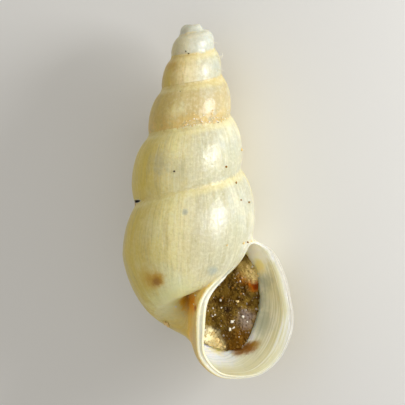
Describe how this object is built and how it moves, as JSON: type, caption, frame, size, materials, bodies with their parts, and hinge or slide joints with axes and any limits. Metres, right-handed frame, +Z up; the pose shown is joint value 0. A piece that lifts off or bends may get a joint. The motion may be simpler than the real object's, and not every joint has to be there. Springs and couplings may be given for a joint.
{
  "type": "snail shell",
  "caption": "Small slender conical cave-snail shell with a flared free lip, dried sediment in its mouth, lying on its side.",
  "frame": {"origin": "centre of the bounding box, on the surface that the shell rests on", "axes": "+Y towards the tip, along the shell; +Z up, away from the surface it lies on; the mouth faces up and to +X"},
  "size_m": [0.0016, 0.0034, 0.0013],
  "materials": {
    "shell_cream": "satin",
    "dried_sediment": "matte"
  },
  "bodies": {
    "root": {"shell": "shell_cream", "sediment_plug": "dried_sediment"}
  },
  "joints": []
}
